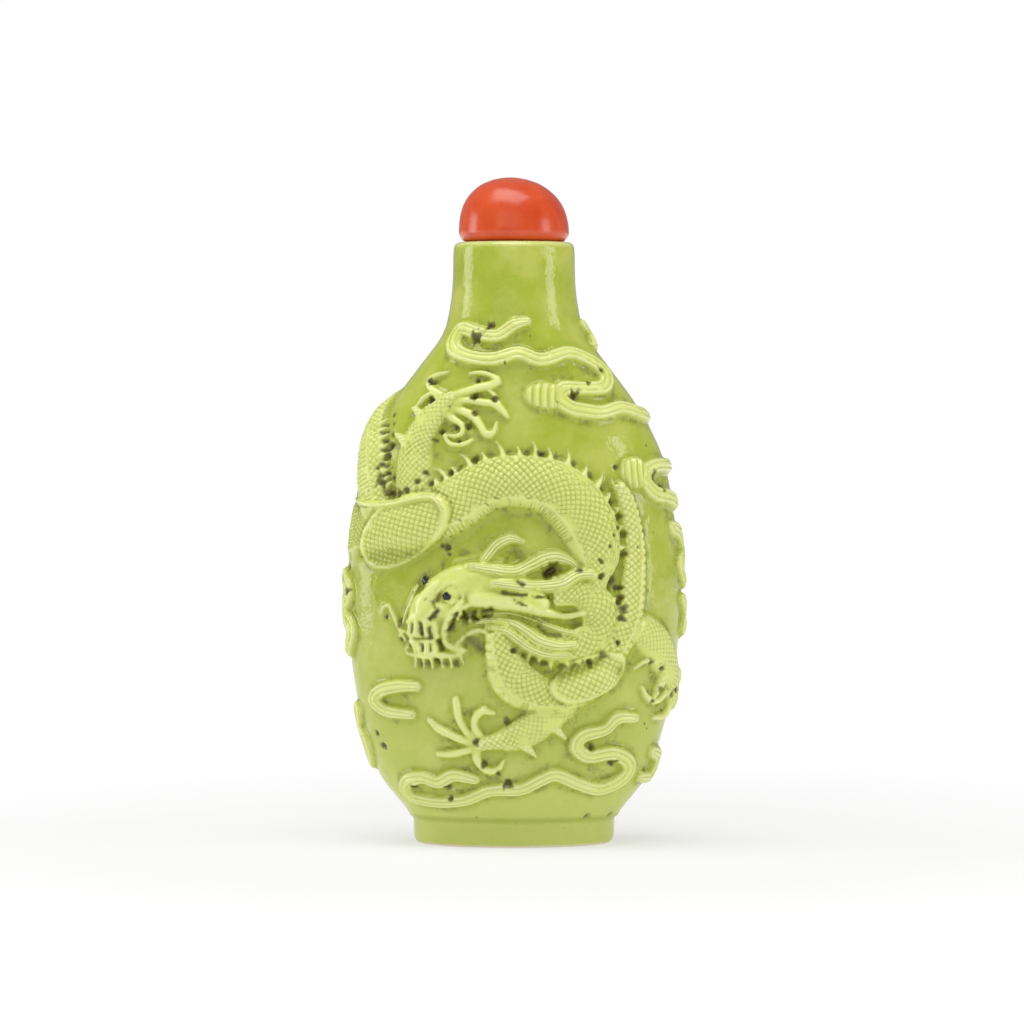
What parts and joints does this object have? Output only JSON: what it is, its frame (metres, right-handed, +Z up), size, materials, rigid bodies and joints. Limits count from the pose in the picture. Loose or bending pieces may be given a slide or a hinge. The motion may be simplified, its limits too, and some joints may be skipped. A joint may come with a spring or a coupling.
{
  "type": "snuff bottle",
  "caption": "Flattened oval snuff bottle, hollow, with a relief dragon among clouds, a short round neck, an oval foot ring and a domed stopper that lifts out.",
  "frame": {"origin": "centre of the overall box, on the plane the foot ring stands on", "axes": "+Z up along the neck, -Y out of the side with the dragon's head, +X to the right seen from that side"},
  "size_m": [0.0394, 0.0253, 0.076],
  "materials": {
    "lime_glaze": "glossy lime-green enamel, paler on the relief's crests, olive where it pools, brown pits, bare foot rim",
    "coral": "polished orange-red coral, softly mottled, with small pits"
  },
  "bodies": {
    "root": {"bottle": "lime_glaze", "stopper": "coral"}
  },
  "joints": []
}
